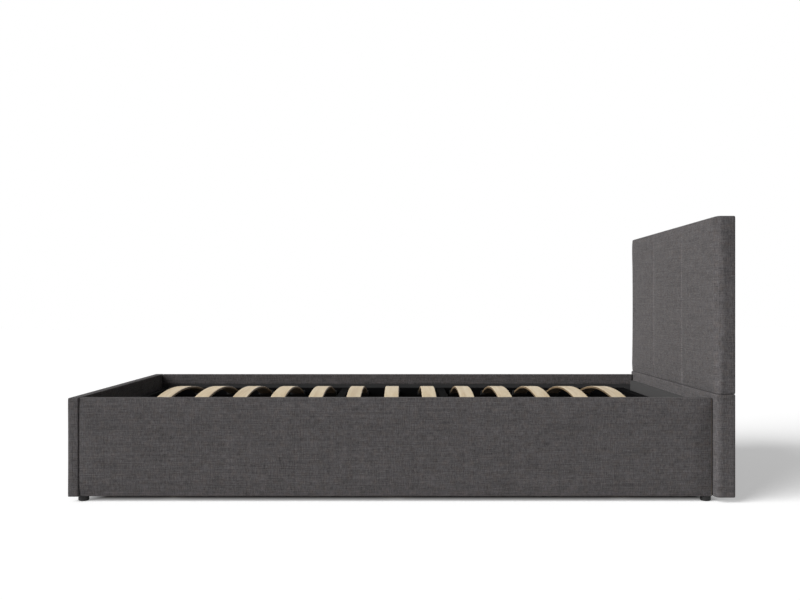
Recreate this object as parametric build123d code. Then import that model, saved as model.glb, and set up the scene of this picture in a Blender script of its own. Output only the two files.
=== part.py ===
from build123d import *
import math
import os

# Ottoman storage bed for a 900 by 1900 mattress, in millimetres.
# X runs from the foot to the head, Y from the left side to the right, Z up.
# Left and right are those of a sleeper lying on their back.
# The origin is on the floor, at the middle of the overall length and width.

# Overall
overall_length = 2000.0
headboard_width = 1000.0
headboard_overhang = 15.0     # beyond each side rail
foot_height = 16.0
rail_height = 297.0
headboard_height = 843.0

# Panels
rail_thickness = 30.0
footboard_thickness = 31.0
headboard_thickness = 61.0
headboard_split = 309.0       # height of the lower piece, from its own underside
board_thickness = 20.0
headboard_board_thickness = 25.0
joint_gap = 1.0               # between a rail's end and the board that it meets
split_gap = 0.5

# Upholstery
inner_skin = 2.0              # cloth on the inside of the rails, and the liner's thickness
top_padding = 5.0
inner_flap = 40.0             # how far the cloth comes down inside
back_skin = 3.0
headboard_side_padding = 12.0
rail_edge_radius = 6.0
flap_edge_radius = 4.0
under_edge_radius = 1.5
headboard_edge_radius = 16.0
headboard_back_radius = 8.0
headboard_joint_radius = 3.0
headboard_crown = 2.5
headboard_groove_depth = 5.0
headboard_groove_width = 7.0
footboard_crown = 2.0
footboard_groove_depth = 2.2
footboard_groove_width = 4.0
panel_count = 3

# Head end liner and storage floor
head_liner_thickness = 12.0
head_liner_drop = 24.0        # below the rails' top
liner_side_gap = 1.5
batten_width = 40.0
batten_height = 18.0
batten_lift = 5.0             # above the rails' underside
batten_bracket_thickness = 2.0
batten_bracket_reach = 30.0
batten_count = 3
batten_end_margin = 268.0
base_panel_thickness = 4.0
base_panel_edge_gap = 2.0
base_panel_count = 2

# Platform frame
frame_foot_gap = 16.5
frame_head_gap = 42.5
frame_drop = 52.0             # from the rails' top to the frame's top
frame_side_gap = 12.0
tube_size = 30.0
tube_wall = 1.5
cap_thickness = 3.0
cap_plug_depth = 12.0
cap_fit = 0.2
cross_tube_count = 2
cross_tube_slats = 3          # slats between the two cross tubes

# Slats
slat_count = 13
slat_foot_margin = 164.5      # from the frame's foot end to the middle of the first slat
slat_head_margin = 172.5
slat_width = 48.0
slat_thickness = 8.0
slat_crown_drop = 13.0        # from the rails' top to the slats' highest line
slat_bow_radius = 1540.0
slat_end_gap = 5.0
slat_edge_radius = 2.0
holder_reach = 34.0
holder_wall = 4.0
holder_fit = 0.3

# Ledges that the platform rests on
ledge_height = 25.0
ledge_width = 26.0
seat_gap = 0.3
side_ledge_linkage_gap = 212.0   # from the ledge's end to the long arm's fixed pivot
side_ledge_foot_margin = 60.0
foot_ledge_depth = 27.0
foot_ledge_end_margin = 45.0

# Lift linkage: the rises are measured up from the middle of the frame tube
linkage_set_back = 836.0      # from the headboard's face to the long arm's fixed pivot
long_arm_fixed_rise = -41.0
long_arm_reach = 478.0        # along X from the long arm's fixed pivot to its moving one
short_arm_fixed_reach = -43.0
short_arm_fixed_rise = -184.0
short_arm_lead = 17.0         # from the long arm's moving pivot to the short arm's
short_arm_rise = -66.0
strut_lead = 109.0            # from the long arm's moving pivot to the strut's upper one
strut_run = 260.0             # from the strut's lower pivot to its upper one
strut_fixed_rise = -190.0
strut_rise = -35.0

plate_thickness = 4.0
bracket_thickness = 3.0
arm_thickness = 4.0
arm_width = 24.0
layer_gap = 0.5
pivot_radius = 5.0
pivot_head_radius = 9.0
pivot_head_thickness = 2.5
running_gap = 0.06
plate_upright_width = 44.0
plate_strip_height = 38.0
plate_floor_gap = 3.0
plate_strip_overlap = 22.0
bracket_lobe_radius = 14.0
bracket_lead = 26.0
bracket_tail = 26.0
plate_corner_radius = 8.0

# Gas struts
strut_cylinder_radius = 9.0
strut_cylinder_wall = 1.5
strut_rod_radius = 4.0
strut_eye_radius = 10.0
strut_eye_width = 12.0
strut_neck_radius = 5.0
strut_neck_length = 8.0
strut_axis_inset = 27.0       # from the rail's inner face to the strut's axis
strut_cylinder_cover = 262.0  # from the lower eye's centre to the cylinder's mouth
strut_rod_length = 242.0
strut_gland_length = 14.0
strut_base_length = 6.0
piston_length = 10.0
stud_clip_radius = 7.5
stud_clip_thickness = 2.0
stud_collar_radius = 7.0
stud_collar_length = 4.0

# Fasteners
bolt_radius = 3.0
bolt_head_radius = 6.0
bolt_head_thickness = 2.4
bolt_hole_gap = 0.1
hinge_bolt_length = 17.0
bracket_bolt_length = 9.0
corner_bolt_length = 18.0
head_bolt_length = 62.0
corner_leg = 40.0
corner_thickness = 3.0
corner_height = 120.0
corner_lift = 30.0
corner_bolt_margin = 30.0
corner_bolt_inset = 24.0
stud_radius = 5.0
stud_length = 90.0
headboard_stud_count = 3

# Feet
glide_radius = 16.0
glide_chamfer = 2.5
glide_side_inset = 28.0
glide_foot_inset = 38.0       # from the footboard's outer face
glide_head_inset = 16.0       # from the headboard's face

# A cut runs past the solid by this much
overrun = 5.0

# Places worked out from the sizes above
foot_x = -overall_length / 2
head_x = overall_length / 2
inner_foot_x = foot_x + footboard_thickness
inner_head_x = head_x - headboard_thickness
rail_foot_x = inner_foot_x + joint_gap
rail_head_x = inner_head_x - joint_gap
rail_outer_y = headboard_width / 2 - headboard_overhang
rail_inner_y = rail_outer_y - rail_thickness
board_inner_y = rail_inner_y + inner_skin
board_outer_y = board_inner_y + board_thickness
rail_bottom_z = foot_height
rail_top_z = rail_bottom_z + rail_height
split_z = rail_bottom_z + headboard_split
headboard_top_z = rail_bottom_z + headboard_height
flap_z = rail_top_z - inner_flap

batten_bottom_z = rail_bottom_z + batten_lift
batten_top_z = batten_bottom_z + batten_height
base_top_z = batten_top_z + base_panel_thickness
liner_face_x = inner_head_x - head_liner_thickness

frame_foot_x = inner_foot_x + frame_foot_gap
frame_head_x = inner_head_x - frame_head_gap
frame_outer_y = rail_inner_y - frame_side_gap
frame_inner_y = frame_outer_y - tube_size
frame_top_z = rail_top_z - frame_drop
frame_bottom_z = frame_top_z - tube_size
tube_z = frame_bottom_z + tube_size / 2

slat_crown_z = rail_top_z - slat_crown_drop
slat_end_y = frame_inner_y - slat_end_gap
bow_centre_z = slat_crown_z - slat_bow_radius
first_slat_x = frame_foot_x + slat_foot_margin
last_slat_x = frame_head_x - slat_head_margin
slat_pitch = (last_slat_x - first_slat_x) / (slat_count - 1)
slat_middle_x = (first_slat_x + last_slat_x) / 2

ledge_top_z = frame_bottom_z - seat_gap
ledge_bottom_z = ledge_top_z - ledge_height

# The linkage lies in layers between the rail and the frame tube
plate_inner_y = rail_inner_y - plate_thickness
arm_outer_y = plate_inner_y - layer_gap
arm_inner_y = arm_outer_y - arm_thickness
bracket_outer_y = frame_outer_y + bracket_thickness
strut_y = rail_inner_y - strut_axis_inset

linkage_x = inner_head_x - linkage_set_back
long_fixed = (linkage_x, tube_z + long_arm_fixed_rise)
long_moving = (linkage_x + long_arm_reach, tube_z)
short_fixed = (linkage_x + short_arm_fixed_reach, tube_z + short_arm_fixed_rise)
short_moving = (long_moving[0] + short_arm_lead, tube_z + short_arm_rise)
strut_moving = (long_moving[0] + strut_lead, tube_z + strut_rise)
strut_fixed = (strut_moving[0] - strut_run, tube_z + strut_fixed_rise)


def block(x_low, x_high, y_low, y_high, z_low, z_high):
    """A box between two corners."""
    size = Box(x_high - x_low, y_high - y_low, z_high - z_low)
    return Pos((x_low + x_high) / 2, (y_low + y_high) / 2, (z_low + z_high) / 2) * size


def rounded_outline(u_low, u_high, v_low, v_high, radii):
    """A rectangle with its own radius at each corner, from low-low anticlockwise."""
    corners = [(u_low, v_low), (u_high, v_low), (u_high, v_high), (u_low, v_high)]
    return make_face(FilletPolyline(*corners, radius=radii, close=True))


def across(outline, y_low, y_high):
    """Extrudes an outline drawn in X and Z from y_low to y_high."""
    plane = Plane(origin=(0, y_high, 0), x_dir=(1, 0, 0), z_dir=(0, -1, 0))
    return extrude(plane * outline, amount=y_high - y_low)


def along(outline, x_low, x_high):
    """Extrudes an outline drawn in Y and Z from x_low to x_high."""
    plane = Plane(origin=(x_low, 0, 0), x_dir=(0, 1, 0), z_dir=(1, 0, 0))
    return extrude(plane * outline, amount=x_high - x_low)


def upright(outline, z_low, z_high):
    """Extrudes an outline drawn in X and Y from z_low to z_high."""
    return extrude(Pos(0, 0, z_low) * outline, amount=z_high - z_low)


def rod_across(x, z, radius, y_low, y_high):
    """A cylinder along Y."""
    return Pos(x, (y_low + y_high) / 2, z) * Rot(90, 0, 0) * Cylinder(radius, y_high - y_low)


def rod_along(y, z, radius, x_low, x_high):
    """A cylinder along X."""
    return Pos((x_low + x_high) / 2, y, z) * Rot(0, 90, 0) * Cylinder(radius, x_high - x_low)


def other_side(solid):
    return mirror(solid, about=Plane.XZ)


def both_sides(solids):
    """The given solids of the right side with their mirror images, as one group."""
    copies = [other_side(solid) for solid in solids]
    return Compound(children=[*solids, *copies])


def group(solids):
    return Compound(children=list(solids))


def spread(count, low, high):
    """Evenly spaced places from low to high, both included."""
    return [low + (high - low) * i / (count - 1) for i in range(count)]


# Fasteners

def corner_places():
    """Each corner bracket's X face, X direction, and whether it is at the head."""
    return [(inner_foot_x, 1, False), (liner_face_x, -1, True)]


def corner_bolt_heights():
    low = base_top_z + corner_lift + corner_bolt_margin
    high = base_top_z + corner_lift + corner_height - corner_bolt_margin
    return [low, high]


def bolt_across(x, z, y_seat, length, radius, head=True):
    """A bolt along +Y whose head seats at y_seat and whose shank runs outwards."""
    shank = rod_across(x, z, radius, y_seat, y_seat + length)
    if not head:
        return shank
    return shank + rod_across(x, z, bolt_head_radius, y_seat - bolt_head_thickness, y_seat)


def bolt_along(y, z, x_seat, direction, length, radius, head=True):
    """A bolt along X, with its head at x_seat and its shank running in the given direction."""
    x_end = x_seat + direction * length
    shank = rod_along(y, z, radius, min(x_seat, x_end), max(x_seat, x_end))
    if not head:
        return shank
    x_head = x_seat - direction * bolt_head_thickness
    return shank + rod_along(y, z, bolt_head_radius, min(x_seat, x_head), max(x_seat, x_head))


def corner_bolts_right(radius, head=True):
    bolts = []
    seat_y = rail_inner_y - corner_thickness
    y = rail_inner_y - corner_bolt_inset
    for face_x, direction, at_head in corner_places():
        length = head_bolt_length if at_head else corner_bolt_length
        x = face_x + direction * corner_bolt_inset
        seat_x = face_x + direction * corner_thickness
        for z in corner_bolt_heights():
            bolts.append(bolt_across(x, z, seat_y, corner_bolt_length, radius, head))
            bolts.append(bolt_along(y, z, seat_x, -direction, length, radius, head))
    return bolts


def hinge_bolt_places():
    """Where the hinge plate is bolted to the rail: along the strip, and on the upright."""
    strip_z = strut_fixed[1]
    first = linkage_x + plate_upright_width
    last = strut_fixed[0] - plate_upright_width
    upright_x = (long_fixed[0] + short_fixed[0]) / 2
    upright_z = (long_fixed[1] + short_fixed[1]) / 2
    return [(x, strip_z) for x in spread(3, first, last)] + [(upright_x, upright_z)]


def hinge_bolts_right(radius, head=True):
    bolts = []
    for x, z in hinge_bolt_places():
        bolts.append(bolt_across(x, z, plate_inner_y, hinge_bolt_length, radius, head))
    return bolts


def bolt_holes_right():
    radius = bolt_radius + bolt_hole_gap
    return corner_bolts_right(radius, head=False) + hinge_bolts_right(radius, head=False)


def both_sides_of_holes():
    holes = bolt_holes_right()
    return holes + [other_side(hole) for hole in holes]


def cut_all(solid, cutters):
    for cutter in cutters:
        solid = solid - cutter
    return solid


# Side rails

def rail_board():
    board = block(rail_foot_x + inner_skin, rail_head_x - inner_skin, board_inner_y, board_outer_y,
                  rail_bottom_z + inner_skin, rail_top_z - top_padding)
    return cut_all(board, bolt_holes_right())


def rail_liner():
    liner = block(rail_foot_x, rail_head_x, rail_inner_y, board_inner_y, rail_bottom_z + inner_skin, flap_z)
    return cut_all(liner, bolt_holes_right())


def rail_upholstery():
    """Padding and cloth: the outer face, over the top and down inside as far as the flap."""
    section = rounded_outline(rail_inner_y, rail_outer_y, rail_bottom_z, rail_top_z,
                              [under_edge_radius, rail_edge_radius, rail_edge_radius, flap_edge_radius])
    length = rounded_outline(rail_foot_x, rail_head_x, rail_bottom_z, rail_top_z,
                             [under_edge_radius, under_edge_radius, rail_edge_radius, flap_edge_radius])
    cover = along(section, rail_foot_x, rail_head_x) & across(length, rail_inner_y, rail_outer_y)
    cover -= block(rail_foot_x + inner_skin, rail_head_x - inner_skin, board_inner_y, board_outer_y,
                   rail_bottom_z + inner_skin, rail_top_z - top_padding)
    cover -= block(rail_foot_x - overrun, rail_head_x + overrun, rail_inner_y - overrun, board_inner_y,
                   rail_bottom_z + inner_skin, flap_z)
    return cut_all(cover, bolt_holes_right())


# Footboard and headboard

def padded_outline(front_x, back_x, half_width, crown, front_radius, back_radius):
    """Plan of a padded board: plain with no crown, or in panels that each swell towards front_x."""
    panels = panel_count if crown else 1
    direction = 1 if back_x > front_x else -1
    seam_x = front_x + direction * crown
    width = 2 * half_width / panels
    seams = [-half_width + width * i for i in range(panels + 1)]
    starts = [seams[0] + front_radius] + seams[1:-1]
    ends = seams[1:-1] + [seams[-1] - front_radius]
    edges = []
    for start, end in zip(starts, ends):
        if crown:
            middle = (start + end) / 2
            edges.append(ThreePointArc((seam_x, start), (front_x, middle), (seam_x, end)))
        else:
            edges.append(Line((seam_x, start), (seam_x, end)))
    turn_x = seam_x + direction * front_radius
    back_turn_x = back_x - direction * back_radius
    for side in (1, -1):
        y = side * half_width
        bend = -side * direction
        front_corner = (seam_x, y - side * front_radius)
        back_corner = (back_x, y - side * back_radius)
        edges.append(RadiusArc(front_corner, (turn_x, y), bend * front_radius))
        edges.append(Line((turn_x, y), (back_turn_x, y)))
        edges.append(RadiusArc((back_turn_x, y), back_corner, bend * back_radius))
    edges.append(Line((back_x, half_width - back_radius), (back_x, back_radius - half_width)))
    return make_face(edges)


def seam_grooves(face_x, direction, half_width, depth, width, z_low, z_high):
    """V-shaped cuts down the seams between the panels."""
    spacing = 2 * half_width / panel_count
    grooves = []
    for i in range(1, panel_count):
        y = -half_width + spacing * i
        points = [(face_x - direction * depth, y - width), (face_x - direction * depth, y + width),
                  (face_x + direction * depth, y)]
        grooves.append(upright(make_face(Polyline(*points, close=True)), z_low, z_high))
    return grooves


def footboard_panel():
    half = rail_outer_y - back_skin
    outer = foot_x + footboard_thickness - back_skin - board_thickness
    panel = block(outer, inner_foot_x - back_skin, -half, half, rail_bottom_z + inner_skin,
                  rail_top_z - top_padding)
    return cut_all(panel, both_sides_of_holes())


def footboard_upholstery():
    plan = padded_outline(foot_x, inner_foot_x, rail_outer_y, footboard_crown, rail_edge_radius,
                          flap_edge_radius)
    cover = upright(plan, rail_bottom_z, rail_top_z)
    side = rounded_outline(foot_x, inner_foot_x, rail_bottom_z, rail_top_z,
                           [under_edge_radius, under_edge_radius, flap_edge_radius, rail_edge_radius])
    cover = cover & across(side, -rail_outer_y, rail_outer_y)
    outer_seam_x = foot_x + footboard_crown
    cuts = seam_grooves(outer_seam_x, 1, rail_outer_y, footboard_groove_depth, footboard_groove_width,
                        rail_bottom_z - overrun, rail_top_z + overrun)
    cuts += seam_grooves(inner_foot_x, -1, rail_outer_y, footboard_groove_depth, footboard_groove_width,
                         rail_bottom_z - overrun, rail_top_z + overrun)
    cover = cut_all(cover, cuts)
    half = rail_outer_y - back_skin
    board_x = foot_x + footboard_thickness - back_skin - board_thickness
    cover -= block(board_x, inner_foot_x - back_skin, -half, half, rail_bottom_z + inner_skin,
                   rail_top_z - top_padding)
    return cut_all(cover, both_sides_of_holes())


def headboard_board_box(z_low, z_high):
    half = headboard_width / 2 - headboard_side_padding
    back_x = head_x - back_skin
    return block(back_x - headboard_board_thickness, back_x, -half, half, z_low, z_high)


def headboard_lower_bounds():
    return rail_bottom_z + inner_skin, split_z - inner_skin


def headboard_upper_bounds():
    return split_z + split_gap + inner_skin, headboard_top_z - headboard_side_padding


def stud_holes():
    return stud_solids(stud_radius + bolt_hole_gap)


def headboard_lower_upholstery():
    """The lower piece is plain and flat, without seams."""
    plan = padded_outline(inner_head_x, head_x, headboard_width / 2, 0, headboard_edge_radius,
                          headboard_back_radius)
    cover = upright(plan, rail_bottom_z, split_z)
    cover = fillet(cover.edges().group_by(Axis.Z)[-1], headboard_joint_radius)
    cover = fillet(cover.edges().group_by(Axis.Z)[0], under_edge_radius)
    cover -= headboard_board_box(*headboard_lower_bounds())
    return cut_all(cover, both_sides_of_holes() + stud_holes())


def headboard_upper_upholstery():
    """The upper piece swells in three panels, with a sewn groove between each two."""
    half = headboard_width / 2
    bottom = split_z + split_gap
    plan = padded_outline(inner_head_x, head_x, half, headboard_crown, headboard_edge_radius,
                          headboard_back_radius)
    side = rounded_outline(inner_head_x, head_x, bottom, headboard_top_z,
                           [headboard_joint_radius, headboard_joint_radius, headboard_back_radius,
                            headboard_edge_radius])
    front = rounded_outline(-half, half, bottom, headboard_top_z,
                            [headboard_joint_radius, headboard_joint_radius, headboard_edge_radius,
                             headboard_edge_radius])
    cover = upright(plan, bottom, headboard_top_z) & across(side, -half, half)
    cover = cover & along(front, inner_head_x, head_x)
    cover -= headboard_board_box(*headboard_upper_bounds())
    cuts = seam_grooves(inner_head_x + headboard_crown, 1, half, headboard_groove_depth,
                        headboard_groove_width, bottom - overrun, headboard_top_z + overrun)
    return cut_all(cover, cuts + stud_holes())


def headboard_lower_panel():
    return cut_all(headboard_board_box(*headboard_lower_bounds()), both_sides_of_holes() + stud_holes())


def headboard_upper_panel():
    return cut_all(headboard_board_box(*headboard_upper_bounds()), stud_holes())


def stud_solids(radius):
    """The upright studs that join the two pieces of the headboard."""
    x = head_x - back_skin - headboard_board_thickness / 2
    reach = headboard_width / 2 - headboard_side_padding - stud_length
    places = spread(headboard_stud_count, -reach, reach)
    length = stud_length
    return [Pos(x, y, split_z) * Cylinder(radius, length) for y in places]


def head_liner():
    half = rail_inner_y - liner_side_gap
    liner = block(liner_face_x, inner_head_x, -half, half, base_top_z, rail_top_z - head_liner_drop)
    return cut_all(liner, both_sides_of_holes())


# Corners, floor and feet

def corner_brackets():
    brackets = []
    low = base_top_z + corner_lift
    high = low + corner_height
    for face_x, direction, at_head in corner_places():
        far_x = face_x + direction * corner_leg
        thin_x = face_x + direction * corner_thickness
        rail_leg_y = rail_inner_y - corner_thickness
        board_leg_y = rail_inner_y - corner_leg
        along_rail = block(min(face_x, far_x), max(face_x, far_x), rail_leg_y, rail_inner_y, low, high)
        along_board = block(min(face_x, thin_x), max(face_x, thin_x), board_leg_y, rail_inner_y, low, high)
        brackets.append(cut_all(along_rail + along_board, bolt_holes_right()))
    return both_sides(brackets)


def batten_places():
    return spread(batten_count, inner_foot_x + batten_end_margin, inner_head_x - batten_end_margin)


def base_battens():
    half = rail_inner_y - batten_bracket_thickness - seat_gap
    battens = []
    for x in batten_places():
        low_x = x - batten_width / 2
        high_x = x + batten_width / 2
        battens.append(block(low_x, high_x, -half, half, batten_bottom_z, batten_top_z))
    return group(battens)


def batten_brackets():
    """Angles on the rails' inner faces, with a leg under the end of each batten."""
    low_z = batten_bottom_z - batten_bracket_thickness
    wall_y = rail_inner_y - batten_bracket_thickness
    leg_y = rail_inner_y - batten_bracket_reach
    brackets = []
    for x in batten_places():
        low_x = x - batten_width / 2
        high_x = x + batten_width / 2
        wall = block(low_x, high_x, wall_y, rail_inner_y, low_z, batten_top_z)
        leg = block(low_x, high_x, leg_y, rail_inner_y, low_z, batten_bottom_z)
        brackets.append(wall + leg)
    return both_sides(brackets)


def base_panels():
    low = inner_foot_x + base_panel_edge_gap
    high = inner_head_x - base_panel_edge_gap
    step = (high - low) / base_panel_count
    half = rail_inner_y - base_panel_edge_gap
    panels = []
    for i in range(base_panel_count):
        x = low + step * i
        panels.append(block(x, x + step - joint_gap, -half, half, batten_top_z, base_top_z))
    return group(panels)


def glide_feet():
    disc = chamfer(Cylinder(glide_radius, foot_height).edges().sort_by(Axis.Z)[:1], glide_chamfer)
    y = rail_outer_y - glide_side_inset
    feet = []
    for x in (foot_x + glide_foot_inset, inner_head_x - glide_head_inset):
        for side in (1, -1):
            feet.append(Pos(x, side * y, foot_height / 2) * disc)
    return group(feet)


def platform_ledges():
    """Timber strips that the platform rests on: one along each rail and one along the footboard."""
    low_x = inner_foot_x + side_ledge_foot_margin
    high_x = linkage_x - side_ledge_linkage_gap
    side = block(low_x, high_x, rail_inner_y - ledge_width, rail_inner_y, ledge_bottom_z, ledge_top_z)
    half = rail_inner_y - foot_ledge_end_margin
    foot = block(inner_foot_x, inner_foot_x + foot_ledge_depth, -half, half, ledge_bottom_z, ledge_top_z)
    return group([side, other_side(side), foot])


# Platform frame and slats

def tube_outline():
    outer = Rectangle(tube_size, tube_size)
    return fillet(outer.vertices(), tube_wall)


def tube_hole():
    inside = tube_size - 2 * tube_wall
    return Rectangle(inside, inside)


def tube_along(y, x_low, x_high):
    solid = along(Pos(y, tube_z) * tube_outline(), x_low, x_high)
    return solid - along(Pos(y, tube_z) * tube_hole(), x_low - overrun, x_high + overrun)


def tube_across(x, y_low, y_high):
    solid = across(Pos(x, tube_z) * tube_outline(), y_low, y_high)
    return solid - across(Pos(x, tube_z) * tube_hole(), y_low - overrun, y_high + overrun)


def side_tube():
    y = frame_outer_y - tube_size / 2
    tube = tube_along(y, frame_foot_x, frame_head_x)
    return cut_all(tube, bracket_bolts_right(bolt_radius + bolt_hole_gap, head=False))


def tube_end_caps():
    """Moulded plugs in the open ends of the side tubes."""
    y = frame_outer_y - tube_size / 2
    plug = tube_size - 2 * (tube_wall + cap_fit)
    caps = []
    for x, direction in ((frame_foot_x, -1), (frame_head_x, 1)):
        far_x = x + direction * cap_thickness
        deep_x = x - direction * cap_plug_depth
        cap = along(Pos(y, tube_z) * tube_outline(), min(x, far_x), max(x, far_x))
        cap += along(Pos(y, tube_z) * Rectangle(plug, plug), min(x, deep_x), max(x, deep_x))
        caps.append(cap)
    return both_sides(caps)


def end_tube(x):
    return tube_across(x, -frame_inner_y, frame_inner_y)


def cross_tubes():
    half = cross_tube_slats * slat_pitch / 2
    places = spread(cross_tube_count, slat_middle_x - half, slat_middle_x + half)
    return group([end_tube(x) for x in places])


def bow_sector(outer_radius, inner_radius, y_low, y_high):
    """The part between two arcs about the bow's centre, drawn in Y and Z, from y_low to y_high."""
    def top(y, radius):
        return (y, bow_centre_z + math.sqrt(radius ** 2 - y ** 2))
    middle = (y_low + y_high) / 2
    upper = ThreePointArc(top(y_low, outer_radius), top(middle, outer_radius), top(y_high, outer_radius))
    lower = ThreePointArc(top(y_low, inner_radius), top(middle, inner_radius), top(y_high, inner_radius))
    sides = [Line(top(y_low, outer_radius), top(y_low, inner_radius)),
             Line(top(y_high, outer_radius), top(y_high, inner_radius))]
    return make_face([upper, lower, *sides])


def slat_places():
    return spread(slat_count, first_slat_x, last_slat_x)


def slat(x):
    """A strip of even thickness, turned about the bow's centre."""
    middle = Plane(origin=(x, 0, slat_crown_z - slat_thickness / 2), x_dir=(1, 0, 0), z_dir=(0, -1, 0))
    section = middle * RectangleRounded(slat_width, slat_thickness, slat_edge_radius)
    bow_axis = Axis((0, 0, bow_centre_z), (1, 0, 0))
    half_turn = math.degrees(math.asin(slat_end_y / slat_bow_radius))
    return revolve(section.rotate(bow_axis, -half_turn), bow_axis, 2 * half_turn)


def slat_holder(x):
    """A moulded sleeve on the side tube that takes one end of a slat."""
    outer = bow_sector(slat_bow_radius + holder_wall, slat_bow_radius - slat_thickness - holder_wall,
                       frame_inner_y - holder_reach, frame_inner_y)
    half = slat_width / 2 + holder_wall
    sleeve = along(outer, x - half, x + half)
    pocket = bow_sector(slat_bow_radius + holder_fit, slat_bow_radius - slat_thickness - holder_fit,
                        frame_inner_y - holder_reach - overrun, slat_end_y + holder_fit)
    half_pocket = slat_width / 2 + holder_fit
    return sleeve - along(pocket, x - half_pocket, x + half_pocket)


def slat_holders():
    return both_sides([slat_holder(x) for x in slat_places()])


# Lift linkage

def link_outline(start, end, width):
    """A bar with round ends, from one pivot to another, drawn in X and Z."""
    length = math.hypot(end[0] - start[0], end[1] - start[1])
    angle = math.degrees(math.atan2(end[1] - start[1], end[0] - start[0]))
    middle = ((start[0] + end[0]) / 2, (start[1] + end[1]) / 2)
    return Pos(*middle) * Rot(0, 0, angle) * SlotCenterToCenter(length, width)


def arm(start, end):
    bar = across(link_outline(start, end, arm_width), arm_inner_y, arm_outer_y)
    hole = pivot_radius + running_gap
    for x, z in (start, end):
        bar -= rod_across(x, z, hole, arm_inner_y - overrun, arm_outer_y + overrun)
    return bar


def hinge_plate():
    """The plate on the rail: an upright between the two fixed pivots and a strip along the floor."""
    low_z = base_top_z + plate_floor_gap
    low_x = short_fixed[0] - plate_strip_overlap
    high_x = strut_fixed[0] + plate_strip_overlap
    strip = rounded_outline(low_x, high_x, low_z, low_z + plate_strip_height, [plate_corner_radius] * 4)
    upright_bar = link_outline(short_fixed, long_fixed, plate_upright_width)
    top_z = long_fixed[1] + plate_upright_width
    limit = rounded_outline(low_x, high_x, low_z, top_z, [plate_corner_radius] * 4)
    outline = (upright_bar & limit) + strip
    plate = across(outline, plate_inner_y, rail_inner_y)
    cutters = bolt_holes_right()
    for x, z in (long_fixed, short_fixed, strut_fixed):
        hole = rod_across(x, z, pivot_radius + running_gap, plate_inner_y - overrun, rail_inner_y + overrun)
        cutters.append(hole)
    return cut_all(plate, cutters)


def fixed_pivot_pins():
    """A headed pin through the arm and the plate at each fixed pivot."""
    head_y = arm_inner_y - layer_gap
    pins = []
    for x, z in (long_fixed, short_fixed):
        shank = rod_across(x, z, pivot_radius, head_y, rail_inner_y)
        pins.append(shank + rod_across(x, z, pivot_head_radius, head_y - pivot_head_thickness, head_y))
    return both_sides(pins)


def platform_pivot_pins():
    """A headed pin through the platform's bracket and the long arm."""
    x, z = long_moving
    head_y = arm_outer_y + layer_gap
    shank = rod_across(x, z, pivot_radius, frame_outer_y, head_y)
    return both_sides([shank + rod_across(x, z, pivot_head_radius, head_y, head_y + pivot_head_thickness)])


def short_arm_rivets():
    """The rivet at the short arm's upper end, which stops short of the platform's bracket."""
    x, z = short_moving
    shank = rod_across(x, z, pivot_radius, arm_inner_y, arm_outer_y)
    head = rod_across(x, z, pivot_head_radius, arm_outer_y, arm_outer_y + pivot_head_thickness)
    return both_sides([shank + head])


def platform_bracket():
    """The plate on the side tube that the arms and the strut lift."""
    low_x = long_moving[0] - bracket_lead
    high_x = strut_moving[0] + bracket_tail
    band = rounded_outline(low_x, high_x, frame_bottom_z, frame_top_z, [plate_corner_radius / 4] * 4)
    outline = band
    for x, z in (short_moving, strut_moving):
        outline += link_outline((x, tube_z), (x, z), 2 * bracket_lobe_radius)
    plate = across(outline, frame_outer_y, bracket_outer_y)
    x, z = long_moving
    hole = rod_across(x, z, pivot_radius + running_gap, frame_outer_y - overrun, bracket_outer_y + overrun)
    return cut_all(plate, [hole] + bracket_bolts_right(bolt_radius + bolt_hole_gap, head=False))


def bracket_bolt_places():
    first = short_moving[0] + 2 * bracket_lobe_radius
    return [(first, tube_z), (strut_moving[0], tube_z)]


def bracket_bolts_right(radius, head=True):
    """Bolts through the bracket into the side tube, put in from the rail's side."""
    bolts = []
    end_y = bracket_outer_y - bracket_bolt_length
    head_y = bracket_outer_y + bolt_head_thickness
    for x, z in bracket_bolt_places():
        bolt = rod_across(x, z, radius, end_y, bracket_outer_y)
        if head:
            bolt += rod_across(x, z, bolt_head_radius, bracket_outer_y, head_y)
        bolts.append(bolt)
    return bolts


# Gas struts, drawn along X from the lower eye and then turned into place

def strut_place():
    rise = strut_moving[1] - strut_fixed[1]
    reach = strut_moving[0] - strut_fixed[0]
    angle = math.degrees(math.atan2(rise, reach))
    return Pos(strut_fixed[0], strut_y, strut_fixed[1]) * Rot(0, -angle, 0)


def strut_length():
    return math.hypot(strut_moving[0] - strut_fixed[0], strut_moving[1] - strut_fixed[1])


def strut_eye(x):
    return rod_across(x, 0, strut_eye_radius, -strut_eye_width / 2, strut_eye_width / 2)


def strut_cylinder():
    start = strut_eye_radius + strut_neck_length
    mouth = strut_cylinder_cover
    bore_end = mouth - strut_gland_length
    body = rod_along(0, 0, strut_cylinder_radius, start, mouth)
    bore_radius = strut_cylinder_radius - strut_cylinder_wall
    body -= rod_along(0, 0, bore_radius, start + strut_base_length, bore_end)
    body -= rod_along(0, 0, strut_rod_radius + running_gap, bore_end - overrun, mouth + overrun)
    body += rod_along(0, 0, strut_neck_radius, 0, start)
    body += strut_eye(0)
    body -= rod_across(0, 0, pivot_radius + running_gap, -strut_eye_width, strut_eye_width)
    return strut_place() * body


def strut_rod():
    end = strut_length()
    start = end - strut_rod_length
    body = rod_along(0, 0, strut_rod_radius, start, end)
    piston_radius = strut_cylinder_radius - strut_cylinder_wall - running_gap
    body += rod_along(0, 0, piston_radius, start, start + piston_length)
    neck_start = end - strut_eye_radius - strut_neck_length
    body += rod_along(0, 0, strut_neck_radius, neck_start, end)
    body += strut_eye(end)
    body -= rod_across(end, 0, pivot_radius + running_gap, -strut_eye_width, strut_eye_width)
    return strut_place() * body


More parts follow.
